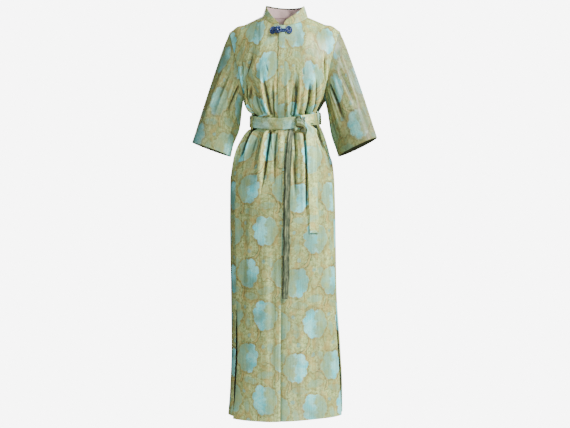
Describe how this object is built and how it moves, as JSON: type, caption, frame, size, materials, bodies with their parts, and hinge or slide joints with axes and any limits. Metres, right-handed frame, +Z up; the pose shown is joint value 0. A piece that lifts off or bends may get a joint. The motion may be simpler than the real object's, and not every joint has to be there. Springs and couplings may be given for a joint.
{
  "type": "cheongsam dress",
  "caption": "Full-length hollow cheongsam gown with a stand collar, knotted neck fastening, three-quarter sleeves, tied self belt and side slits.",
  "frame": {"origin": "on the centre plane at the height where the shoulder seams meet the collar, which is where the wearer's shoulders carry the gown", "axes": "+Z up the wearer's body, -Y the way the wearer faces, +X the wearer's left"},
  "size_m": [0.6455, 0.2517, 1.4436],
  "materials": {
    "brocade": "sage and gold brocade with pale blue flowers, soft satin sheen",
    "belt_brocade": "the same brocade, folded double",
    "lining": "pale pink, matt",
    "frog_satin": "royal blue satin cord"
  },
  "bodies": {
    "root": {"front_right": "brocade", "front_left": "brocade", "back": "brocade", "lap_band": "brocade", "sleeve_right": "brocade", "sleeve_left": "brocade", "collar": "brocade", "collar_lining": "lining", "neck_lining": "lining", "belt_band": "belt_brocade", "belt_loop_right": "belt_brocade", "belt_loop_left": "belt_brocade", "belt_knot": "belt_brocade", "belt_tail_wide": "belt_brocade", "belt_tail_narrow": "belt_brocade", "frog_right": "frog_satin", "frog_left": "frog_satin", "frog_knot": "frog_satin"}
  },
  "joints": []
}
